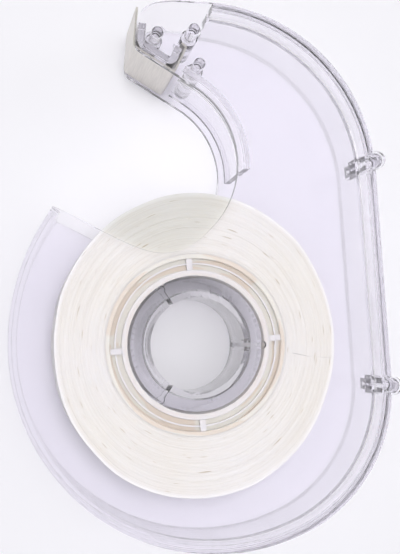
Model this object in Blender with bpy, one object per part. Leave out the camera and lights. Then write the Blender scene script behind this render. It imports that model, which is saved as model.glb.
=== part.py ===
"""Hand-held tape dispenser: two clear snap-together half shells, a steel cutter and a roll of tape on its core.

The dispenser lies on its side, as it rests on a desk. X runs across it, from the thumb opening on the left to the
straight back on the right; Y runs up to the cutter; Z is its thickness. Z = 0 is the outside of the back shell.
Sizes are in millimetres, and MM turns them into Blender's metres.
"""

from math import acos, atan2, ceil, cos, degrees, hypot, radians, sin

import bmesh
import bpy
from mathutils import Matrix, Vector

MM = 0.001

# Driving dimensions (millimetres and degrees). Places are measured from the hub, the roll's axis.
TAPE_WIDTH = 19.0
ROLL_RADIUS = 28.3
CORE_BORE_RADIUS = 12.7
CORE_OUTER_RADIUS = 17.1
PLATE = 1.5                    # thickness of the two side plates
SIDE_PLAY = 0.5                # between the core's end and a side plate
RIM_WALL = 1.5
CLEARANCE = 0.3                # between pieces that touch
SEGMENT = 5.0                  # degrees of arc in one facet
EMBED = 0.05                   # how far a piece's faces stay off the faces of the piece it grows out of

# The case's outline is four arcs and a straight back, each running smoothly into the next
FLANK_RADIUS = 42.4            # the left side, from the tip down
TIP_ANGLE = 144.6              # where the flank starts, seen from its own centre
BELLY_CENTRE = (4.1, 0.4)
BELLY_RADIUS = 38.4            # below the flank, under the roll
HEEL_RADIUS = 28.6             # the lower right corner
HEEL_ANGLE = -65.2             # where the belly turns into the heel
CROWN_CENTRE = (1.2, 30.8)     # centre of the upper, rounded end
CROWN_RADIUS = 32.9
RIM_END_ANGLE = 87.0           # the rim wall stops here, so the head is open above the cutter
CROWN_END_ANGLE = 92.0         # where the plates' round top turns down to the nose

# Round thumb opening. Its lower edge leaves the circle and runs out to the tip
BAY_CENTRE = (-9.3, 33.4)
BAY_RADIUS = 16.9
BAY_LEAVE_ANGLE = -40.0
BAY_LOW_POINT = (-6.6, 16.7)
BAY_FIRST_HANDLE = 6.0         # lengths of the edge's handles, from the circle to the low point and on to the tip
BAY_LOW_HANDLES = (3.5, 5.0)
TIP_HANDLE = (6.5, -2.6)

# Thickness of the case and where its two halves meet
CASE = TAPE_WIDTH + 2.0 * SIDE_PLAY + 2.0 * PLATE
JOINT = 0.66 * CASE
TONGUE_HEIGHT = 1.3            # the back rim's inner tongue, which the front rim slips over
TONGUE_WALL = 0.6
TONGUE_SHORT = 1.0             # degrees taken off both ends of the tongue, and half of it off the skirt's
SKIRT_OVERLAP = 0.5

# Hub: a tube on the back shell is the spindle, and a slit collar on the front shell plugs into it
SPINDLE_RADIUS = CORE_BORE_RADIUS - 0.45
SPINDLE_BORE = 10.2
COLLAR_RADIUS = SPINDLE_BORE - 0.35
COLLAR_BORE = 8.7
COLLAR_LENGTH = 12.5
SLIT_WIDTH = 0.8
SLIT_END_RADIUS = 0.75
SLIT_REACH = SPINDLE_RADIUS - 0.2
SLIT_ANGLES = (0.0, 124.0, 236.0)

# Nose: the plates' straight lower edge is tangent to the thumb opening
NOSE_FRONT = -11.6
NOSE_TANGENT_ANGLE = 59.0
NOSE_CORNER = 1.6
NOSE_TOP = 58.8                # the nose's front edge starts here and the rounded top ends
NOSE_TOP_HANDLES = ((-6.5, 63.9), (-10.9, 63.9))

# Tape guide: a wall set back from the plates' edge, which the tape slides over
GUIDE_INSET = 1.2
GUIDE_WALL = 1.2
GUIDE_END_ANGLE = -2.0
GUIDE_REACH = 3.2              # length of its straight stretch towards the cutter

# Cutter: a thin steel strip folded round the plastic nose bar
BLADE_SHEET = 0.4
BLADE_WIDTH = TAPE_WIDTH + 0.4
BLADE_TIP = (-11.3, 62.9)
BLADE_KNEE = (-11.98, 55.1)
BLADE_HEEL = (-4.1, 50.3)
BLADE_RISE = (-1.7, 55.5)
BLADE_LIP = (-2.7, 56.3)
BLADE_BENDS = (1.6, 0.8, 0.6)  # radii of its three bends
TOOTH_COUNT = 16
TOOTH_DEPTH = 0.8
NOSE_BAR_WALL = 1.4
NOSE_BAR_BENDS = (2.2, 1.6)
NOSE_BAR_RISE = 0.55           # how far the bar's front side reaches up towards the teeth, as a share
NOSE_BAR_END = 0.8             # how far its other side reaches up inside the strip, as a share

# Locating posts: a pin on the front shell goes into a socket on the back shell
HEAD_POSTS = ((-7.4, 57.9), (-0.5, 58.8), (0.5, 52.3))
HEAD_PIN_RADIUS = 1.1
HEAD_SOCKET_RADIUS = 1.6
BACK_POST_OUT = 0.3            # the two back posts' axes lie this far outside the rim
UPPER_POST_ANGLE = 7.0         # seen from the crown's centre
LOWER_POST_ANGLE = 1.6         # seen from the heel's centre
POST_HEAD_RADIUS = 1.7         # the back posts' round heads on the front plate
POST_HEAD_DEPTH = 1.1
POST_PROUD = 0.4
POST_PIN_RADIUS = 1.4
POST_COLLAR_RADIUS = 1.8       # the part of a back post below the joint
POST_COLLAR_LENGTH = 5.6
POST_STEM_RADIUS = 1.15
POST_STEM_FOOT = 6.4           # height above the desk where the thin end of a back post begins
SPIGOT_RADIUS = 0.75
SPIGOT_LENGTH = 4.0
SOCKET_DEPTH = 5.0

# Core: two walls joined by a web, with four ribs on each side of it
CORE_WALL = 1.0
CORE_WEB = 1.6
CORE_RIB = 1.2
CORE_RIB_ANGLES = (5.0, 95.0, 185.0, 275.0)
CORE_RIB_DROP = 1.2            # the ribs stop this far below the walls' ends
CORE_RING_RADIUS = 14.9
CORE_RING_WALL = 0.5
CORE_RING_DROP = 2.5
CORE_SEGMENT = 6.0

CLEAR_COLOUR = (0.90, 0.90, 0.93)
STEEL_COLOUR = (0.42, 0.41, 0.42)
CORE_COLOUR = (0.80, 0.73, 0.62)
TAPE_COLOUR = (0.86, 0.83, 0.76)
TINY = 0.0005                  # points nearer than this are one point


def polar(centre, radius, angle):
    """The point at this angle (degrees) on a circle."""
    return (centre[0] + radius * cos(radians(angle)), centre[1] + radius * sin(radians(angle)))


def arc(centre, radius, start, end, segment=SEGMENT):
    """Points along an arc, both ends included. The arc is clockwise when end is below start."""
    steps = max(1, ceil(abs(end - start) / segment - 1e-6))
    return [polar(centre, radius, start + (end - start) * i / steps) for i in range(steps + 1)]


def bezier(p0, p1, p2, p3, steps):
    """Points along a cubic curve, without its first point."""
    points = []
    for i in range(1, steps + 1):
        t = i / steps
        weights = ((1 - t) ** 3, 3 * t * (1 - t) ** 2, 3 * t * t * (1 - t), t ** 3)
        points.append(tuple(sum(w * p[k] for w, p in zip(weights, (p0, p1, p2, p3))) for k in (0, 1)))
    return points


def fillet(before, corner, after, radius, steps=4):
    """Points of a round corner between two straight runs."""
    a = (Vector(before) - Vector(corner)).normalized()
    b = (Vector(after) - Vector(corner)).normalized()
    half = 0.5 * acos(max(-1.0, min(1.0, a.dot(b))))
    centre = Vector(corner) + (a + b).normalized() * (radius / sin(half))
    first = Vector(corner) + a * (radius * cos(half) / sin(half)) - centre
    last = Vector(corner) + b * (radius * cos(half) / sin(half)) - centre
    turn = atan2(first.x * last.y - first.y * last.x, first.dot(last))
    start = atan2(first.y, first.x)
    return [polar(centre, radius, degrees(start + turn * i / steps)) for i in range(steps + 1)]


def offset_path(path, distance):
    """The open path moved sideways; a positive distance moves it to the left of its direction."""
    moved = []
    for i, point in enumerate(path):
        before = Vector(path[max(i - 1, 0)])
        after = Vector(path[min(i + 1, len(path) - 1)])
        here = Vector(point)
        d0 = (here - before).normalized() if i > 0 else (after - here).normalized()
        d1 = (after - here).normalized() if i < len(path) - 1 else d0
        n0 = Vector((-d0.y, d0.x))
        n1 = Vector((-d1.y, d1.x))
        mitre = (n0 + n1).normalized()
        moved.append(tuple(here + mitre * (distance / mitre.dot(n0))))
    return moved


def strip_outline(path, left, right):
    """A closed outline that runs along both sides of a path."""
    return offset_path(path, -right) + list(reversed(offset_path(path, left)))


def flank_centre():
    return (BELLY_CENTRE[0] + FLANK_RADIUS - BELLY_RADIUS, BELLY_CENTRE[1])


def heel_centre():
    return polar(BELLY_CENTRE, BELLY_RADIUS - HEEL_RADIUS, HEEL_ANGLE)


def back_posts():
    return (polar(CROWN_CENTRE, CROWN_RADIUS + BACK_POST_OUT, UPPER_POST_ANGLE),
            polar(heel_centre(), HEEL_RADIUS + BACK_POST_OUT, LOWER_POST_ANGLE))


def back_tangent_angle():
    """The angle at which one straight line touches both the heel's circle and the crown's circle."""
    heel = heel_centre()
    dx = CROWN_CENTRE[0] - heel[0]
    dy = CROWN_CENTRE[1] - heel[1]
    return degrees(atan2(dy, dx) - acos((HEEL_RADIUS - CROWN_RADIUS) / hypot(dx, dy)))


def case_curve(inset=0.0, start=TIP_ANGLE, end=RIM_END_ANGLE):
    """The rim's line from the left tip, under the roll, up the straight back and over the crown."""
    tangent = back_tangent_angle()
    curve = arc(flank_centre(), FLANK_RADIUS - inset, start, 180.0)
    curve += arc(BELLY_CENTRE, BELLY_RADIUS - inset, 180.0, 360.0 + HEEL_ANGLE)[1:]
    curve += arc(heel_centre(), HEEL_RADIUS - inset, HEEL_ANGLE, tangent)[1:]
    return curve + arc(CROWN_CENTRE, CROWN_RADIUS - inset, tangent, end)


def nose_line_point(distance):
    """A point on the plates' lower nose edge, this far from where the edge leaves the thumb opening."""
    start = polar(BAY_CENTRE, BAY_RADIUS, NOSE_TANGENT_ANGLE)
    return (start[0] - distance * sin(radians(NOSE_TANGENT_ANGLE)),
            start[1] + distance * cos(radians(NOSE_TANGENT_ANGLE)))


def nose_corner():
    """Where the nose's front edge would meet its lower edge if the corner were sharp."""
    start = polar(BAY_CENTRE, BAY_RADIUS, NOSE_TANGENT_ANGLE)
    return nose_line_point((start[0] - NOSE_FRONT) / sin(radians(NOSE_TANGENT_ANGLE)))


def plate_outline():
    """The side plates' closed outline, counter-clockwise from the left tip."""
    tip = polar(flank_centre(), FLANK_RADIUS, TIP_ANGLE)
    top = polar(CROWN_CENTRE, CROWN_RADIUS, CROWN_END_ANGLE)
    front_top = (NOSE_FRONT, NOSE_TOP)
    bay_start = polar(BAY_CENTRE, BAY_RADIUS, NOSE_TANGENT_ANGLE)
    leave = polar(BAY_CENTRE, BAY_RADIUS, BAY_LEAVE_ANGLE)
    first = polar(leave, BAY_FIRST_HANDLE, BAY_LEAVE_ANGLE - 90.0)
    low_x, low_y = BAY_LOW_POINT
    before, after = BAY_LOW_HANDLES
    points = case_curve()
    points += arc(CROWN_CENTRE, CROWN_RADIUS, RIM_END_ANGLE, CROWN_END_ANGLE)[1:]
    points += bezier(top, NOSE_TOP_HANDLES[0], NOSE_TOP_HANDLES[1], front_top, 8)
    points += fillet(front_top, nose_corner(), bay_start, NOSE_CORNER)
    points += arc(BAY_CENTRE, BAY_RADIUS, NOSE_TANGENT_ANGLE, BAY_LEAVE_ANGLE)
    points += bezier(leave, first, (low_x + before, low_y), BAY_LOW_POINT, 5)
    points += bezier(BAY_LOW_POINT, (low_x - after, low_y), (tip[0] + TIP_HANDLE[0], tip[1] + TIP_HANDLE[1]), tip, 8)
    return points[:-1]


def hub_place():
    """The frame's origin is under the middle of the case, so the hub stands off to one side of it."""
    outline = plate_outline()
    left = min(x for x, y in outline)
    right = max(x for x, y in back_posts()) + POST_COLLAR_RADIUS
    return (-0.5 * (left + right), -0.5 * (min(y for x, y in outline) + max(y for x, y in outline)))


def guide_path():
    """The middle line of the tape guide wall, from its lower end up to the cutter."""
    radius = BAY_RADIUS + GUIDE_INSET + 0.5 * GUIDE_WALL
    path = arc(BAY_CENTRE, radius, GUIDE_END_ANGLE, NOSE_TANGENT_ANGLE)
    x, y = path[-1]
    path.append((x - GUIDE_REACH * sin(radians(NOSE_TANGENT_ANGLE)),
                 y + GUIDE_REACH * cos(radians(NOSE_TANGENT_ANGLE))))
    return path


def rounded(corners, radii):
    """An open path with a fillet of the given radius at each corner between its ends."""
    path = [corners[0]]
    for i, radius in enumerate(radii):
        path += fillet(corners[i], corners[i + 1], corners[i + 2], radius)
    path.append(corners[-1])
    return path


def blade_path():
    """The cutter strip's outer line, from the points of its teeth to its hooked end."""
    return rounded((BLADE_TIP, BLADE_KNEE, BLADE_HEEL, BLADE_RISE, BLADE_LIP), BLADE_BENDS)


def nose_bar_path():
    """The outer line of the plastic bar that the cutter strip wraps, a gap inside the strip."""
    inner = offset_path((BLADE_TIP, BLADE_KNEE, BLADE_HEEL, BLADE_RISE), BLADE_SHEET + CLEARANCE)
    top = tuple(Vector(inner[1]).lerp(Vector(inner[0]), NOSE_BAR_RISE))
    end = tuple(Vector(inner[2]).lerp(Vector(inner[3]), NOSE_BAR_END))
    return rounded((top, inner[1], inner[2], end), NOSE_BAR_BENDS)


def new_object(name, mesh):
    obj = bpy.data.objects.new(name, mesh)
    bpy.context.scene.collection.objects.link(obj)
    return obj


def mesh_from(name, vertices, faces):
    """A mesh from points in millimetres, with its faces turned outwards."""
    mesh = bpy.data.meshes.new(name)
    mesh.from_pydata([tuple(c * MM for c in v) for v in vertices], [], faces)
    bm = bmesh.new()
    bm.from_mesh(mesh)
    bmesh.ops.remove_doubles(bm, verts=bm.verts, dist=1e-7)
    bmesh.ops.recalc_face_normals(bm, faces=bm.faces)
    bm.to_mesh(mesh)
    bm.free()
    return mesh


def prism(name, outline, low, high):
    """A solid of this outline between two heights."""
    n = len(outline)
    vertices = [(x, y, low) for x, y in outline] + [(x, y, high) for x, y in outline]
    faces = [tuple(range(n))[::-1], tuple(range(n, 2 * n))]
    faces += [(i, (i + 1) % n, n + (i + 1) % n, n + i) for i in range(n)]
    return new_object(name, mesh_from(name, vertices, faces))


def turned(name, profile, segment=SEGMENT):
    """A ring turned from a closed (radius, height) profile."""
    steps = ceil(360.0 / segment)
    n = len(profile)
    vertices = []
    for i in range(steps):
        for r, z in profile:
            vertices.append((*polar((0.0, 0.0), r, 360.0 * i / steps), z))
    faces = []
    for i in range(steps):
        a = i * n
        b = ((i + 1) % steps) * n
        for k in range(n):
            m = (k + 1) % n
            faces.append((a + k, b + k, b + m, a + m))
    return new_object(name, mesh_from(name, vertices, faces))


def tube(name, inner, outer, low, high, segment=SEGMENT):
    return turned(name, [(inner, low), (outer, low), (outer, high), (inner, high)], segment)


def cylinder(name, centre, radius, low, high, segment=15.0):
    return prism(name, arc(centre, radius, 0.0, 360.0 - segment, segment), low, high)


def combine(target, operation, others):
    """Union, difference or intersection of the target with other solids, which are used up."""
    for other in others:
        modifier = target.modifiers.new(operation.lower(), "BOOLEAN")
        modifier.operation = operation
        modifier.solver = "EXACT"
        modifier.object = other
        bpy.context.view_layer.update()
        depsgraph = bpy.context.evaluated_depsgraph_get()
        result = bpy.data.meshes.new_from_object(target.evaluated_get(depsgraph))
        target.modifiers.clear()
        old = target.data
        target.data = result
        bpy.data.meshes.remove(old)
    for other in others:
        bpy.data.objects.remove(other, do_unlink=True)


def clear_plastic(name, colour, roughness):
    material = solid_material(name, colour, roughness)
    shader = material.node_tree.nodes["Principled BSDF"]
    shader.inputs["Transmission Weight"].default_value = 0.9
    shader.inputs["IOR"].default_value = 1.55
    return material


def solid_material(name, colour, roughness, metallic=0.0):
    material = bpy.data.materials.new(name)
    material.use_nodes = True
    shader = material.node_tree.nodes["Principled BSDF"]
    shader.inputs["Base Color"].default_value = (*colour, 1.0)
    shader.inputs["Roughness"].default_value = roughness
    shader.inputs["Metallic"].default_value = metallic
    return material


def finish(obj, material, parent):
    """Clean the mesh, give it its material and smooth shading, and hang it on its parent."""
    bm = bmesh.new()
    bm.from_mesh(obj.data)
    bmesh.ops.remove_doubles(bm, verts=bm.verts, dist=TINY * MM)
    bmesh.ops.dissolve_degenerate(bm, dist=TINY * MM, edges=bm.edges)
    bm.to_mesh(obj.data)
    bm.free()
    obj.data.name = obj.name
    obj.data.materials.clear()
    obj.data.materials.append(material)
    obj.data.shade_smooth()
    obj.data.set_sharp_from_angle(angle=radians(30.0))
    obj.parent = parent


def rim_band(name, low, high, outside=0.0, inside=RIM_WALL, short=0.0):
    """A band of the rim wall between two heights and two depths; short takes degrees off both its ends."""
    start = TIP_ANGLE + short
    end = RIM_END_ANGLE - short
    outline = case_curve(outside, start, end) + list(reversed(case_curve(inside, start, end)))
    return prism(name, outline, low, high)


def guide_wall(low, high):
    return prism("guide", strip_outline(guide_path(), 0.5 * GUIDE_WALL, 0.5 * GUIDE_WALL), low, high)


def nose_bar(low, high):
    return prism("nose_bar", strip_outline(nose_bar_path(), NOSE_BAR_WALL, 0.0), low, high)


def tongue(rim_top):
    """The back rim's tongue, left out where the back posts pass through the joint."""
    band = rim_band("tongue", rim_top - 0.5 * PLATE, rim_top + TONGUE_HEIGHT, RIM_WALL - TONGUE_WALL,
                    RIM_WALL - EMBED, TONGUE_SHORT)
    room = POST_PIN_RADIUS + 2.0 * CLEARANCE
    combine(band, "DIFFERENCE", [cylinder("room", c, room, 0.0, CASE) for c in back_posts()])
    return band


def back_shell(parent):
    """The half that lies on the desk: plate, rim with tongue, spindle tube, half guide, half nose bar, sockets."""
    shell = prism("back_shell", plate_outline(), 0.0, PLATE)
    overlap = 0.5 * PLATE
    rim_top = JOINT - 0.5 * CLEARANCE
    collar_low = rim_top - POST_COLLAR_LENGTH
    collars = [cylinder("collar", c, POST_COLLAR_RADIUS, collar_low, rim_top) for c in back_posts()]
    stems = [cylinder("stem", c, POST_STEM_RADIUS, POST_STEM_FOOT, collar_low + 1.0) for c in back_posts()]
    head_sockets = [cylinder("socket", c, HEAD_SOCKET_RADIUS, overlap, rim_top) for c in HEAD_POSTS]
    combine(shell, "UNION", [
        rim_band("rim", overlap, rim_top),
        tongue(rim_top),
        cylinder("spindle", (0.0, 0.0), SPINDLE_RADIUS, overlap, CASE - PLATE - CLEARANCE, SEGMENT),
        guide_wall(overlap, rim_top),
        nose_bar(overlap, rim_top),
    ] + collars + stems + head_sockets)
    holes = [cylinder("hole", c, SPIGOT_RADIUS + CLEARANCE, rim_top - SOCKET_DEPTH, CASE)
             for c in back_posts() + HEAD_POSTS]
    bore = cylinder("bore", (0.0, 0.0), SPINDLE_BORE, -1.0, CASE + 1.0, SEGMENT)
    combine(shell, "DIFFERENCE", [bore] + holes)
    finish(shell, clear_plastic("clear_back", CLEAR_COLOUR, 0.05), parent)


def slit(angle):
    """A radial slit with a round end, cut through the front plate and down the whole collar."""
    low = CASE - PLATE - COLLAR_LENGTH - 1.0
    high = CASE + 1.0
    half = 0.5 * SLIT_WIDTH
    start = 0.5 * COLLAR_BORE
    outline = [(start, -half), (SLIT_REACH, -half), (SLIT_REACH, half), (start, half)]
    turn = Matrix.Rotation(radians(angle), 2)
    groove = prism("slit", [tuple(turn @ Vector(p)) for p in outline], low, high)
    end_place = polar((0.0, 0.0), SLIT_REACH, angle)
    combine(groove, "UNION", [cylinder("slit_end", end_place, SLIT_END_RADIUS, CASE - PLATE - 1.0, high, 20.0)])
    return groove


def front_shell(parent):
    """The upper half: plate, rim that slips over the tongue, slit collar, half guide, half nose bar, posts."""
    shell = prism("front_shell", plate_outline(), CASE - PLATE, CASE)
    overlap = CASE - 0.5 * PLATE
    rim_low = JOINT + 0.5 * CLEARANCE
    step = rim_low + TONGUE_HEIGHT
    skirt = RIM_WALL - TONGUE_WALL - CLEARANCE
    collar_low = CASE - PLATE - COLLAR_LENGTH
    back_pins = [cylinder("post", c, POST_PIN_RADIUS, rim_low, overlap) for c in back_posts()]
    back_heads = [cylinder("head", c, POST_HEAD_RADIUS, CASE - POST_HEAD_DEPTH, CASE + POST_PROUD)
                  for c in back_posts()]
    head_pins = [cylinder("post", c, HEAD_PIN_RADIUS, rim_low, overlap) for c in HEAD_POSTS]
    spigots = [cylinder("spigot", c, SPIGOT_RADIUS, rim_low - SPIGOT_LENGTH, rim_low + 1.0)
               for c in back_posts() + HEAD_POSTS]
    combine(shell, "UNION", [
        rim_band("rim", step, overlap),
        rim_band("skirt", rim_low, step + SKIRT_OVERLAP, EMBED, skirt, 0.5 * TONGUE_SHORT),
        cylinder("collar", (0.0, 0.0), COLLAR_RADIUS, collar_low, overlap, SEGMENT),
        guide_wall(rim_low, overlap),
        nose_bar(rim_low, overlap),
    ] + back_pins + back_heads + head_pins + spigots)
    bore = cylinder("bore", (0.0, 0.0), COLLAR_BORE, -1.0, CASE + 1.0, SEGMENT)
    combine(shell, "DIFFERENCE", [bore] + [slit(a) for a in SLIT_ANGLES])
    finish(shell, clear_plastic("clear_front", CLEAR_COLOUR, 0.05), parent)


def cutter_blade(parent):
    """The folded steel strip, with a row of triangular teeth along its upper edge."""
    low = 0.5 * (CASE - BLADE_WIDTH)
    blade = prism("cutter_blade", strip_outline(blade_path(), BLADE_SHEET, 0.0), low, low + BLADE_WIDTH)
    pitch = BLADE_WIDTH / TOOTH_COUNT
    reach = 2.0
    cutters = []
    for i in range(TOOTH_COUNT + 1):
        middle = low + i * pitch
        left = BLADE_TIP[0] - reach
        right = BLADE_TIP[0] + reach
        top = BLADE_TIP[1] + 0.2
        bottom = BLADE_TIP[1] - TOOTH_DEPTH
        half = 0.5 * pitch * (top - bottom) / TOOTH_DEPTH
        section = [(middle, bottom), (middle + half, top), (middle - half, top)]
        vertices = [(left, y, z) for z, y in section] + [(right, y, z) for z, y in section]
        faces = [(0, 1, 2), (5, 4, 3), (0, 3, 4, 1), (1, 4, 5, 2), (2, 5, 3, 0)]
        cutters.append(new_object("gullet", mesh_from("gullet", vertices, faces)))
    combine(blade, "DIFFERENCE", cutters)
    finish(blade, solid_material("steel", STEEL_COLOUR, 0.3, 1.0), parent)


def core_profile(low, high):
    """The core's section: two walls, and between them a web that carries a thin ring on both its sides."""
    web_low = 0.5 * (low + high - CORE_WEB)
    ring_in = CORE_RING_RADIUS - 0.5 * CORE_RING_WALL
    ring_out = CORE_RING_RADIUS + 0.5 * CORE_RING_WALL
    lower = [
        (CORE_BORE_RADIUS, low),
        (CORE_BORE_RADIUS + CORE_WALL, low),
        (CORE_BORE_RADIUS + CORE_WALL, web_low),
        (ring_in, web_low),
        (ring_in, low + CORE_RING_DROP),
        (ring_out, low + CORE_RING_DROP),
        (ring_out, web_low),
        (CORE_OUTER_RADIUS - CORE_WALL, web_low),
        (CORE_OUTER_RADIUS - CORE_WALL, low),
        (CORE_OUTER_RADIUS, low),
    ]
    return lower + [(r, low + high - z) for r, z in reversed(lower)]


def tape_core(parent):
    """The moulded core, with four ribs that stiffen it on both sides of its web."""
    low = 0.5 * (CASE - TAPE_WIDTH)
    high = low + TAPE_WIDTH
    core = turned("tape_core", core_profile(low, high), CORE_SEGMENT)
    inner_end = CORE_BORE_RADIUS + 0.5 * CORE_WALL
    outer_end = CORE_OUTER_RADIUS - 0.5 * CORE_WALL
    half = 0.5 * CORE_RIB
    outline = [(inner_end, -half), (outer_end, -half), (outer_end, half), (inner_end, half)]
    ribs = []
    for angle in CORE_RIB_ANGLES:
        turn = Matrix.Rotation(radians(angle), 2)
        corners = [tuple(turn @ Vector(p)) for p in outline]
        ribs.append(prism("rib", corners, low + CORE_RIB_DROP, high - CORE_RIB_DROP))
    combine(core, "UNION", ribs)
    finish(core, clear_plastic("core_plastic", CORE_COLOUR, 0.35), parent)


def tape_roll(parent):
    """The wound tape, a ring of rectangular section."""
    low = 0.5 * (CASE - TAPE_WIDTH)
    roll = tube("tape_roll", CORE_OUTER_RADIUS + CLEARANCE, ROLL_RADIUS, low, low + TAPE_WIDTH)
    finish(roll, solid_material("tape", TAPE_COLOUR, 0.5), parent)


def main():
    for obj in list(bpy.data.objects):
        bpy.data.objects.remove(obj, do_unlink=True)
    hub_axis = bpy.data.objects.new("hub_axis", None)
    bpy.context.scene.collection.objects.link(hub_axis)
    hub_x, hub_y = hub_place()
    hub_axis.location = (hub_x * MM, hub_y * MM, 0.0)
    back_shell(hub_axis)
    front_shell(hub_axis)
    cutter_blade(hub_axis)
    tape_core(hub_axis)
    tape_roll(hub_axis)


main()
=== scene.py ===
"""Looks for the hand-held tape dispenser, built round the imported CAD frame.

The dispenser lies on its back shell on a pale floor, and the camera looks down on it, as in the photograph.
Lengths are in metres; MM turns millimetres into metres. Places are measured from the hub, the roll's axis.
"""

from math import cos, pi, radians, sin

import bmesh
import bpy
import numpy as np
from mathutils import Matrix, Vector


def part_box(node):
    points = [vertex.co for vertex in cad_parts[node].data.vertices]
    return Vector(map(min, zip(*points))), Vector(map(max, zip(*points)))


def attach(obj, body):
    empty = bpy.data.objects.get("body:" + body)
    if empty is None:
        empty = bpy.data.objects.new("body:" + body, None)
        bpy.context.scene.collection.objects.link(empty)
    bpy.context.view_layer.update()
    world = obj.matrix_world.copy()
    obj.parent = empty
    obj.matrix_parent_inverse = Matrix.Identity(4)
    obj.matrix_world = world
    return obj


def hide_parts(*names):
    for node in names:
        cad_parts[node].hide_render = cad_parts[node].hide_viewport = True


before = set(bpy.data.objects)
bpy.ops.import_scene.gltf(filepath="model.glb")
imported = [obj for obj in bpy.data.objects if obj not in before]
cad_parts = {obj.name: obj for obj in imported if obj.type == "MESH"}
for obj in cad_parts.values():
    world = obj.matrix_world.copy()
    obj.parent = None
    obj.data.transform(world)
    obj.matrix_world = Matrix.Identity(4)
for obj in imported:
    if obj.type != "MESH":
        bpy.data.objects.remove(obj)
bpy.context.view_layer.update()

MM = 0.001

CORE_LOW, CORE_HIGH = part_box("tape_core")
ROLL_LOW, ROLL_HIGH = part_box("tape_roll")
HUB = Vector((0.5 * (CORE_LOW.x + CORE_HIGH.x), 0.5 * (CORE_LOW.y + CORE_HIGH.y), 0.0))

# Camera: where it stands from the hub, where it points, and its focal length in millimetres
EYE_OFFSET = Vector((-31.9, 0.2, 227.5)) * MM
LOOK_RIGHT = radians(8.98)
LOOK_UP = radians(3.37)
LENS = 73.5
SENSOR = 36.0
NEAREST = 0.01
FARTHEST = 10.0

# Colours (linear)
TAPE_DARK = (0.62, 0.585, 0.53)
TAPE_MIDDLE = (0.71, 0.685, 0.64)
TAPE_LIGHT = (0.76, 0.745, 0.715)
TAPE_BLUISH = (0.73, 0.72, 0.735)
TAPE_WHITE = (0.80, 0.79, 0.79)
SPECK_BROWN = (0.36, 0.28, 0.17)
CORE_BEIGE = (0.66, 0.585, 0.50)
CORE_GREYISH = (0.69, 0.67, 0.61)
CORE_PALE = (0.66, 0.635, 0.64)
CORE_WHITE = (0.71, 0.69, 0.70)
FLOOR_COLOUR = (0.95, 0.94, 0.985)

# How fine the tape's and the core's patterns are
LAYER_TURNS = 0.6               # low, so that the layers run far round the roll
CLOUD_SCALE = 55.0
SPECK_ACROSS = 34.0
SPECK_ALONG = 5.0
MILKY_SCALE = 150.0
BLOCKS_ALONG = 1.3
BLOCKS_ACROSS = 900.0
TAPE_DEPTH = (0.25, (1.0, 0.9, 0.75), 1.5 * MM)     # how milky: see let_light_in
CORE_DEPTH = (0.35, (1.0, 0.85, 0.7), 1.0 * MM)

# Clear plastic and steel
FRONT_TINTS = ((0.975, 0.967, 0.99), (0.985, 0.978, 0.997))
BACK_TINTS = ((0.930, 0.922, 0.955), (0.945, 0.937, 0.965))
PLASTIC_IOR = 1.5
PLASTIC_ROUGHNESS = (0.05, 0.08)
TINT_SCALE = 60.0               # noise scales, in waves to a metre
GLOSS_SCALE = 120.0
WAVE_SCALE = 45.0
LAMP_TINT = (0.995, 0.99, 1.0)  # what each clear surface takes from a lamp's light
STEEL_DARK = (0.60, 0.575, 0.54)
STEEL_LIGHT = (0.76, 0.735, 0.69)
STEEL_GRAIN = (4000.0, 4000.0, 150.0)   # fine across the strip, long along it

# Floor
FLOOR_SIDE = 8.0
FLOOR_GAP = 0.2 * MM            # keeps the floor clear of the back shell
FLOOR_ROUGHNESS = 0.9

# Light
WORLD_STRENGTH = 0.98           # what clear and shiny surfaces mirror and refract
WORLD_FILL = 0.28               # what matt surfaces get from the surroundings
ZENITH_SHADE = 0.70             # the world is darker straight overhead, where the flat plates mirror it
# Each lamp: name, direction and distance from the hub, size, power, and whether it shows in reflections
LAMPS = (
    ("key", (-0.06, 0.1, 1.0), 1.5, (0.4, 0.4), 9.6, False),
    ("sky", (0.0, 0.0, 1.0), 2.2, (2.0, 2.0), 13.2, False),
    ("side", (1.0, 0.35, 0.9), 1.5, (0.3, 0.6), 0.8, True),
)

# Visual shapes
WELD = 0.001 * MM
FLAT_ANGLE = 0.5                # faces within this many degrees of each other are one flat wall
SHARP_ANGLE = 35.0              # faces that meet at more than this many degrees meet in an edge
FOLD_ANGLE = 150.0              # and above this they are folded back on each other
CURVE_LEVELS = 2
EDGE_STEPS = 3
EDGE_ROUND = 0.16 * MM          # radius of the shells' moulded edges
BLADE_ROUND = 0.05 * MM
ROUND_STEPS = 192               # points round the core and the roll
ROLL_SQUEEZE = 0.072            # the wound tape is this much narrower across than along the case
ROLL_LAYERS = 46                # drawn layers; the real ones are far finer
LAYER_SLOPE = 0.12              # share of a layer's width taken by the slope at each of its sides
OUTERMOST = 0.997               # the last layer ends just inside the outer face
SHOULDER = 3.0                  # the outer face starts this many layer steps in from the sides
LAYER_STEP = 0.07 * MM          # how far one layer stands in from its neighbours, at most
# Waves in the tape's outline: how many go round, how deep as a share of the radius, and their phase
TAPE_WAVES = ((5, 0.0010, 0.4), (7, 0.0014, 2.1), (9, 0.0016, 0.9), (13, 0.0010, 4.0), (19, 0.0006, 5.2))

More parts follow.
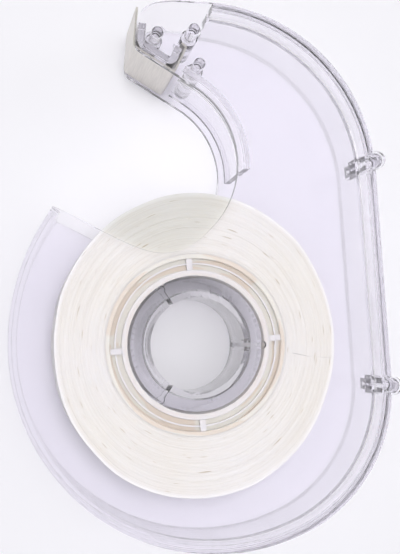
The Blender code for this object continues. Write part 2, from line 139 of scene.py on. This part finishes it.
# The core's section: radii, worked out inwards from the CAD core's own radius, and depths from its ends
CORE_OUTSIDE = 0.5 * (CORE_HIGH.x - CORE_LOW.x) - 0.25 * MM
CORE_WALL_INSIDE = CORE_OUTSIDE - 0.95 * MM                     # inner side of the outer wall
CORE_RING = (CORE_OUTSIDE - 2.05 * MM, CORE_OUTSIDE - 1.75 * MM)
CORE_HUB_WALL = CORE_OUTSIDE - 3.05 * MM                        # outer side of the inner wall
CORE_INSIDE = CORE_OUTSIDE - 4.13 * MM
CORE_FLOOR_DEPTH = 1.0 * MM
CORE_RING_DEPTH = 0.3 * MM
CORE_ROUND = 0.15 * MM
MID_BEND = 0.3                  # where the middle of a rounded edge lies, as a share of its radius
RIB_HALF_WIDTH = 0.55 * MM
RIB_DEPTH = 0.2 * MM
RIB_ANGLES = (5.0, 95.0, 185.0, 275.0)

rng = np.random.default_rng(19)


def add_camera():
    forward = Vector((sin(LOOK_RIGHT) * cos(LOOK_UP), sin(LOOK_UP), -cos(LOOK_RIGHT) * cos(LOOK_UP)))
    right = forward.cross(Vector((0.0, 1.0, 0.0))).normalized()
    up = right.cross(forward)
    data = bpy.data.cameras.new("camera")
    data.lens = LENS
    data.sensor_width = SENSOR
    data.clip_start = NEAREST
    data.clip_end = FARTHEST
    camera = bpy.data.objects.new("camera", data)
    bpy.context.scene.collection.objects.link(camera)
    axes = Matrix((right, up, -forward)).transposed()
    camera.matrix_world = Matrix.Translation(HUB + EYE_OFFSET) @ axes.to_4x4()
    bpy.context.scene.camera = camera


def new_material(name):
    material = bpy.data.materials.new(name)
    material.use_nodes = True
    return material, material.node_tree, material.node_tree.nodes["Principled BSDF"]


def link(tree, source, target):
    tree.links.new(source, target)


def math_node(tree, operation, a, b=None):
    node = tree.nodes.new("ShaderNodeMath")
    node.operation = operation
    for socket, value in zip(node.inputs, (a, b)):
        if value is None:
            continue
        if isinstance(value, (int, float)):
            socket.default_value = value
        else:
            link(tree, value, socket)
    return node.outputs[0]


def noise(tree, vector, scale, detail=3.0, roughness=0.5):
    node = tree.nodes.new("ShaderNodeTexNoise")
    node.inputs["Scale"].default_value = scale
    node.inputs["Detail"].default_value = detail
    node.inputs["Roughness"].default_value = roughness
    link(tree, vector, node.inputs["Vector"])
    return node.outputs["Fac"]


def ramp(tree, factor, stops):
    node = tree.nodes.new("ShaderNodeValToRGB")
    elements = node.color_ramp.elements
    while len(elements) < len(stops):
        elements.new(0.5)
    for element, (position, colour) in zip(elements, stops):
        element.position = position
        element.color = (*colour, 1.0)
    link(tree, factor, node.inputs["Fac"])
    return node.outputs["Color"]


def grey(value):
    return (value, value, value)


def bump(tree, shader, height, strength, distance):
    node = tree.nodes.new("ShaderNodeBump")
    node.inputs["Strength"].default_value = strength
    node.inputs["Distance"].default_value = distance
    link(tree, height, node.inputs["Height"])
    link(tree, node.outputs["Normal"], shader.inputs["Normal"])


def let_light_in(shader, weight, reach, scale):
    """Milky surfaces let some light in: how much, how far for red, green and blue, and over what length."""
    shader.inputs["Subsurface Weight"].default_value = weight
    shader.inputs["Subsurface Radius"].default_value = reach
    shader.inputs["Subsurface Scale"].default_value = scale


def let_lamps_through(tree, shader, tint):
    """Light rays from the lamps pass straight through, so what lies behind clear plastic is lit."""
    output = tree.nodes["Material Output"]
    path = tree.nodes.new("ShaderNodeLightPath")
    clear = tree.nodes.new("ShaderNodeBsdfTransparent")
    clear.inputs["Color"].default_value = (*tint, 1.0)
    mix = tree.nodes.new("ShaderNodeMixShader")
    link(tree, path.outputs["Is Shadow Ray"], mix.inputs[0])
    link(tree, shader.outputs[0], mix.inputs[1])
    link(tree, clear.outputs[0], mix.inputs[2])
    link(tree, mix.outputs[0], output.inputs["Surface"])


def clear_plastic(name, dark, light):
    """Clear moulded plastic, a little uneven in tint, gloss and flatness."""
    material, tree, shader = new_material(name)
    place = tree.nodes.new("ShaderNodeTexCoord").outputs["Object"]
    shader.inputs["Transmission Weight"].default_value = 1.0
    shader.inputs["IOR"].default_value = PLASTIC_IOR
    tint = ramp(tree, noise(tree, place, TINT_SCALE), [(0.3, dark), (0.7, light)])
    link(tree, tint, shader.inputs["Base Color"])
    smooth, dull = PLASTIC_ROUGHNESS
    gloss = ramp(tree, noise(tree, place, GLOSS_SCALE), [(0.4, grey(smooth)), (0.75, grey(dull))])
    link(tree, gloss, shader.inputs["Roughness"])
    bump(tree, shader, noise(tree, place, WAVE_SCALE, 1.0), 0.05, 0.6 * MM)
    let_lamps_through(tree, shader, LAMP_TINT)
    return material


def from_hub(tree):
    """The distance from the roll's axis, in metres, and the angle round it."""
    place = tree.nodes.new("ShaderNodeTexCoord").outputs["Object"]
    shifted = tree.nodes.new("ShaderNodeVectorMath")
    shifted.operation = "SUBTRACT"
    link(tree, place, shifted.inputs[0])
    shifted.inputs[1].default_value = HUB
    split = tree.nodes.new("ShaderNodeSeparateXYZ")
    link(tree, shifted.outputs[0], split.inputs[0])
    x, y = split.outputs["X"], split.outputs["Y"]
    distance = math_node(tree, "SQRT", math_node(tree, "ADD", math_node(tree, "MULTIPLY", x, x),
                                                 math_node(tree, "MULTIPLY", y, y)))
    return distance, math_node(tree, "ARCTAN2", y, x), shifted.outputs[0]


def attribute(tree, name):
    node = tree.nodes.new("ShaderNodeAttribute")
    node.attribute_name = name
    return node.outputs["Fac"]


def mix_colour(tree, factor, a, b):
    node = tree.nodes.new("ShaderNodeMix")
    node.data_type = "RGBA"
    link(tree, factor, node.inputs[0])
    for socket, value in ((node.inputs[6], a), (node.inputs[7], b)):
        if isinstance(value, tuple):
            socket.default_value = (*value, 1.0)
        else:
            link(tree, value, socket)
    return node.outputs[2]


def combine_xyz(tree, x, y, z=0.0):
    node = tree.nodes.new("ShaderNodeCombineXYZ")
    for socket, value in zip(node.inputs, (x, y, z)):
        if isinstance(value, float):
            socket.default_value = value
        else:
            link(tree, value, socket)
    return node.outputs[0]


def tape_material():
    """The edge of wound tape: fine pale layers, whiter last turns, and a few brown specks between turns."""
    material, tree, shader = new_material("matt_tape")
    _, angle, place = from_hub(tree)
    wound = attribute(tree, "wound")
    along = math_node(tree, "MULTIPLY", angle, LAYER_TURNS)
    outward = math_node(tree, "MULTIPLY", wound, float(ROLL_LAYERS))
    layers = noise(tree, combine_xyz(tree, outward, along), 1.0, 5.0, 0.75)
    colour = ramp(tree, layers, [(0.3, TAPE_DARK), (0.5, TAPE_MIDDLE), (0.7, TAPE_LIGHT)])
    cloudy = noise(tree, place, CLOUD_SCALE, 2.0)
    colour = mix_colour(tree, ramp(tree, cloudy, [(0.35, grey(0.0)), (0.7, grey(0.5))]), colour, TAPE_BLUISH)
    edge = ramp(tree, wound, [(0.93, grey(0.0)), (0.97, grey(0.75))])
    colour = mix_colour(tree, edge, colour, TAPE_WHITE)
    speck_place = combine_xyz(tree, math_node(tree, "MULTIPLY", wound, SPECK_ACROSS),
                              math_node(tree, "MULTIPLY", angle, SPECK_ALONG))
    specks = ramp(tree, noise(tree, speck_place, 1.0, 1.0, 0.5), [(0.715, grey(0.0)), (0.75, grey(0.8))])
    colour = mix_colour(tree, specks, colour, SPECK_BROWN)
    link(tree, colour, shader.inputs["Base Color"])
    link(tree, ramp(tree, layers, [(0.3, grey(0.62)), (0.7, grey(0.42))]), shader.inputs["Roughness"])
    let_light_in(shader, *TAPE_DEPTH)
    bump(tree, shader, layers, 0.35, 0.15 * MM)
    return material


def core_material():
    """Milky plastic: pale walls and ribs, and a floor between them in beige and greyish blocks."""
    material, tree, shader = new_material("core_plastic")
    distance, angle, place = from_hub(tree)
    cloudy = noise(tree, place, MILKY_SCALE)
    pale = ramp(tree, cloudy, [(0.3, CORE_PALE), (0.7, CORE_WHITE)])
    blocks = noise(tree, combine_xyz(tree, math_node(tree, "MULTIPLY", angle, BLOCKS_ALONG),
                                     math_node(tree, "MULTIPLY", distance, BLOCKS_ACROSS)), 1.0, 0.0)
    low = ramp(tree, blocks, [(0.46, CORE_BEIGE), (0.49, CORE_GREYISH)])
    colour = mix_colour(tree, attribute(tree, "floor"), pale, low)
    link(tree, colour, shader.inputs["Base Color"])
    link(tree, ramp(tree, cloudy, [(0.3, grey(0.28)), (0.7, grey(0.42))]), shader.inputs["Roughness"])
    let_light_in(shader, *CORE_DEPTH)
    bump(tree, shader, cloudy, 0.1, 0.2 * MM)
    return material


def steel_material():
    """Pale rolled steel, with a fine grain along the strip."""
    material, tree, shader = new_material("cutter_steel")
    place = tree.nodes.new("ShaderNodeTexCoord").outputs["Object"]
    stretch = tree.nodes.new("ShaderNodeMapping")
    stretch.inputs["Scale"].default_value = STEEL_GRAIN
    link(tree, place, stretch.inputs["Vector"])
    grain = noise(tree, stretch.outputs["Vector"], 1.0, 4.0, 0.6)
    shader.inputs["Metallic"].default_value = 1.0
    link(tree, ramp(tree, grain, [(0.3, STEEL_DARK), (0.7, STEEL_LIGHT)]), shader.inputs["Base Color"])
    link(tree, ramp(tree, grain, [(0.3, grey(0.30)), (0.7, grey(0.42))]), shader.inputs["Roughness"])
    bump(tree, shader, grain, 0.15, 0.05 * MM)
    return material


def add_floor():
    mesh = bpy.data.meshes.new("floor")
    half = 0.5 * FLOOR_SIDE
    corners = [(-half, -half, 0.0), (half, -half, 0.0), (half, half, 0.0), (-half, half, 0.0)]
    mesh.from_pydata(corners, [], [(0, 1, 2, 3)])
    floor = bpy.data.objects.new("floor", mesh)
    bpy.context.scene.collection.objects.link(floor)
    floor.location.z = -FLOOR_GAP
    material, _, shader = new_material("floor_paper")
    shader.inputs["Base Color"].default_value = (*FLOOR_COLOUR, 1.0)
    shader.inputs["Roughness"].default_value = FLOOR_ROUGHNESS
    mesh.materials.append(material)


def add_world():
    """Plain surroundings: bright where mirrored or refracted, weaker as light on matt surfaces."""
    world = bpy.data.worlds.new("studio")
    world.use_nodes = True
    tree = world.node_tree
    background = tree.nodes["Background"]
    direction = tree.nodes.new("ShaderNodeTexCoord").outputs["Generated"]
    split = tree.nodes.new("ShaderNodeSeparateXYZ")
    link(tree, direction, split.inputs[0])
    sky = ramp(tree, split.outputs["Z"], [(0.0, grey(1.0)), (0.86, grey(1.0)), (0.93, grey(ZENITH_SHADE))])
    link(tree, sky, background.inputs["Color"])
    path = tree.nodes.new("ShaderNodeLightPath")
    strength = tree.nodes.new("ShaderNodeMapRange")
    strength.inputs["To Min"].default_value = WORLD_STRENGTH
    strength.inputs["To Max"].default_value = WORLD_FILL
    link(tree, path.outputs["Is Diffuse Ray"], strength.inputs["Value"])
    link(tree, strength.outputs["Result"], background.inputs["Strength"])
    bpy.context.scene.world = world


def add_lamp(name, direction, distance, size, power, mirrored):
    data = bpy.data.lights.new(name, "AREA")
    data.shape = "RECTANGLE"
    data.size = size[0]
    data.size_y = size[1]
    data.energy = power
    lamp = bpy.data.objects.new(name, data)
    bpy.context.scene.collection.objects.link(lamp)
    lamp.location = HUB + Vector(direction).normalized() * distance
    lamp.visible_glossy = mirrored
    lamp.visible_transmission = mirrored
    lamp.rotation_euler = (HUB - lamp.location).to_track_quat("-Z", "Y").to_euler()


def new_piece(name, vertices, faces, material):
    mesh = bpy.data.meshes.new(name)
    mesh.from_pydata(vertices, [], faces)
    mesh.materials.append(material)
    piece = bpy.data.objects.new(name, mesh)
    bpy.context.scene.collection.objects.link(piece)
    return piece


def apply_modifiers(piece):
    bpy.context.view_layer.update()
    depsgraph = bpy.context.evaluated_depsgraph_get()
    result = bpy.data.meshes.new_from_object(piece.evaluated_get(depsgraph))
    piece.modifiers.clear()
    piece.data = result


def crease_sharp_edges(piece):
    """Keeps the sharp edges sharp when the curved walls between them are subdivided."""
    shape = bmesh.new()
    shape.from_mesh(piece.data)
    crease = shape.edges.layers.float.new("crease_edge")
    for edge in shape.edges:
        if edge.calc_face_angle(pi) > radians(SHARP_ANGLE):
            edge[crease] = 1.0
    shape.to_mesh(piece.data)
    shape.free()


def choose_rounded_edges(piece):
    """Marks the moulded edges for rounding, and leaves out folds inside a flat wall."""
    shape = bmesh.new()
    shape.from_mesh(piece.data)
    weight = shape.edges.layers.float.new("bevel_weight_edge")
    for edge in shape.edges:
        if radians(SHARP_ANGLE) < edge.calc_face_angle(0.0) < radians(FOLD_ANGLE):
            edge[weight] = 1.0
    shape.to_mesh(piece.data)
    shape.free()


def rounded_copy(node, name, radius, material):
    """A copy of a CAD node with its moulded edges rounded."""
    source = bmesh.new()
    source.from_mesh(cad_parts[node].data)
    bmesh.ops.remove_doubles(source, verts=source.verts, dist=WELD)
    bmesh.ops.dissolve_limit(source, angle_limit=radians(FLAT_ANGLE), verts=source.verts, edges=source.edges)
    bmesh.ops.triangulate(source, faces=[f for f in source.faces if len(f.verts) > 4])
    source.verts.index_update()
    vertices = [tuple(v.co) for v in source.verts]
    faces = [tuple(v.index for v in f.verts) for f in source.faces]
    source.free()
    piece = new_piece(name, vertices, faces, material)
    crease_sharp_edges(piece)
    smooth = piece.modifiers.new("curves", "SUBSURF")
    smooth.levels = CURVE_LEVELS
    smooth.render_levels = CURVE_LEVELS
    apply_modifiers(piece)
    choose_rounded_edges(piece)
    bevel = piece.modifiers.new("edges", "BEVEL")
    bevel.width = radius
    bevel.segments = EDGE_STEPS
    bevel.limit_method = "WEIGHT"
    bevel.use_clamp_overlap = True
    bevel.miter_outer = "MITER_ARC"
    normals = piece.modifiers.new("normals", "WEIGHTED_NORMAL")
    normals.keep_sharp = False
    piece.data.shade_smooth()
    apply_modifiers(piece)
    return piece


def roll_radius(angle):
    """The uneven outline of the wound tape, as a share of its full radius."""
    radius = 1.0 - ROLL_SQUEEZE * cos(angle) ** 2
    for count, depth, phase in TAPE_WAVES:
        radius += depth * (sin(count * angle + phase) - 1.0)
    return radius


def turned_piece(name, profile, place, attribute_name, values, material):
    """A ring round the hub. place(angle, point) gives a profile point's radius and height at an angle.

    values go with the profile's points, and the material reads them by attribute_name.
    """
    vertices = []
    for k in range(ROUND_STEPS):
        angle = 2.0 * pi * k / ROUND_STEPS
        for point in profile:
            r, z = place(angle, point)
            vertices.append((HUB.x + r * cos(angle), HUB.y + r * sin(angle), z))
    n = len(profile)
    faces = []
    for k in range(ROUND_STEPS):
        a = k * n
        b = ((k + 1) % ROUND_STEPS) * n
        for i in range(n):
            j = (i + 1) % n
            faces.append((a + i, b + i, b + j, a + j))
    piece = new_piece(name, vertices, faces, material)
    spread = list(values) * ROUND_STEPS
    piece.data.attributes.new(attribute_name, "FLOAT", "POINT").data.foreach_set("value", spread)
    piece.data.shade_smooth()
    piece.data.set_sharp_from_angle(angle=radians(SHARP_ANGLE))
    return piece


def wound_roll(material):
    """The tape, with its side faces stepped in fine layers that follow its uneven outline."""
    outer = 0.5 * (ROLL_HIGH.x - ROLL_LOW.x)
    low, high = ROLL_LOW.z, ROLL_HIGH.z
    steps = rng.uniform(0.0, LAYER_STEP, (2, ROLL_LAYERS))
    shares = []
    for i in range(ROLL_LAYERS):
        shares.append((i + LAYER_SLOPE) / ROLL_LAYERS)
        shares.append((i + 1.0 - LAYER_SLOPE) / ROLL_LAYERS)
    shares[0] = 0.0
    shares[-1] = OUTERMOST
    upper = [(share, high - steps[0][i // 2]) for i, share in enumerate(shares)]
    lower = [(share, low + steps[1][i // 2]) for i, share in enumerate(shares)]
    shoulder = SHOULDER * LAYER_STEP
    outer_face = [(1.0, high - shoulder), (1.0, low + shoulder)]
    profile = (lower[::-1] + upper + outer_face)[::-1]

    def place(angle, point):
        share, z = point
        return CORE_OUTSIDE + (outer * roll_radius(angle) - CORE_OUTSIDE) * share, z

    return turned_piece("wound_tape", profile, place, "wound", [point[0] for point in profile], material)


def core_side(top, down):
    """Half of the core's section, from its outside to its bore, on the side whose end is at top.

    Each point is its radius, its height, and how much of the floor's colour it has.
    """
    floor = top + down * CORE_FLOOR_DEPTH
    ring = top + down * CORE_RING_DEPTH
    edge = top + down * CORE_ROUND
    inset = CORE_ROUND
    bend = MID_BEND * inset
    return [
        (CORE_OUTSIDE, edge, 0.2), (CORE_OUTSIDE - bend, top + down * bend, 0.3),
        (CORE_OUTSIDE - inset, top, 0.9), (CORE_WALL_INSIDE + inset, top, 0.9),
        (CORE_WALL_INSIDE, edge, 0.9), (CORE_WALL_INSIDE, floor - down * inset, 0.8),
        (CORE_WALL_INSIDE, floor, 1.0),
        (CORE_RING[1], floor, 1.0), (CORE_RING[1], floor - down * inset, 0.6), (CORE_RING[1], ring, 0.0),
        (CORE_RING[0], ring, 0.0), (CORE_RING[0], floor - down * inset, 0.6), (CORE_RING[0], floor, 1.0),
        (CORE_HUB_WALL, floor, 1.0), (CORE_HUB_WALL, floor - down * inset, 0.6), (CORE_HUB_WALL, edge, 0.1),
        (CORE_HUB_WALL - inset, top, 0.1), (CORE_INSIDE + inset, top, 0.4),
        (CORE_INSIDE + bend, top + down * bend, 0.4), (CORE_INSIDE, edge, 0.4),
    ]


def moulded_core(material):
    """The core: two walls, a thin ring between them, and four ribs on each side."""
    low, high = CORE_LOW.z, CORE_HIGH.z
    section = core_side(high, -1.0) + core_side(low, 1.0)[::-1]
    core = turned_piece("ribbed_core", section, lambda angle, point: point[:2], "floor",
                        [p[2] for p in section], material)
    for end, down in ((high, -1.0), (low, 1.0)):
        top = end + down * RIB_DEPTH
        foot = end + down * (CORE_FLOOR_DEPTH + CORE_ROUND)
        for degrees in RIB_ANGLES:
            add_rib(core, radians(degrees), top, foot)
    return core


def add_rib(core, angle, top, foot):
    """Joins a rib to the core, its ends inside the two walls and its foot inside the floor."""
    along = Vector((cos(angle), sin(angle), 0.0))
    across = Vector((-sin(angle), cos(angle), 0.0))
    centre = Vector((HUB.x, HUB.y, 0.0))
    shape = bmesh.new()
    shape.from_mesh(core.data)
    corners = []
    for z in (min(top, foot), max(top, foot)):
        for reach, side in ((CORE_HUB_WALL - CORE_ROUND, -1.0), (CORE_WALL_INSIDE + CORE_ROUND, -1.0),
                            (CORE_WALL_INSIDE + CORE_ROUND, 1.0), (CORE_HUB_WALL - CORE_ROUND, 1.0)):
            place = centre + along * reach + across * side * RIB_HALF_WIDTH
            corners.append(shape.verts.new((place.x, place.y, z)))
    for loop in ((3, 2, 1, 0), (4, 5, 6, 7), (0, 1, 5, 4), (1, 2, 6, 5), (2, 3, 7, 6), (3, 0, 4, 7)):
        shape.faces.new([corners[i] for i in loop])
    shape.to_mesh(core.data)
    shape.free()


def add_pieces():
    """Makes the five pieces. Each takes the place of a CAD node, which is hidden, rides on its body and
    carries its own material.
    """
    back_plastic = clear_plastic("clear_back", *BACK_TINTS)
    back_case = rounded_copy("back_shell", "back_case", EDGE_ROUND, back_plastic)
    front_plastic = clear_plastic("clear_front", *FRONT_TINTS)
    front_case = rounded_copy("front_shell", "front_case", EDGE_ROUND, front_plastic)
    strip = rounded_copy("cutter_blade", "toothed_strip", BLADE_ROUND, steel_material())
    pieces = (
        (back_case, "back_shell", "case_back", "clear_case"),
        (front_case, "front_shell", "case_front", "clear_case"),
        (strip, "cutter_blade", "case_back", "cutter_steel"),
        (moulded_core(core_material()), "tape_core", "roll", "core_plastic"),
        (wound_roll(tape_material()), "tape_roll", "roll", "matt_tape"),
    )
    for piece, node, body, slot in pieces:
        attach(piece, body)
        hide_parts(node)


bpy.context.scene.view_settings.view_transform = "Standard"     # colours as they are, as in the photograph
add_camera()
add_world()
add_floor()
for lamp_settings in LAMPS:
    add_lamp(*lamp_settings)
add_pieces()
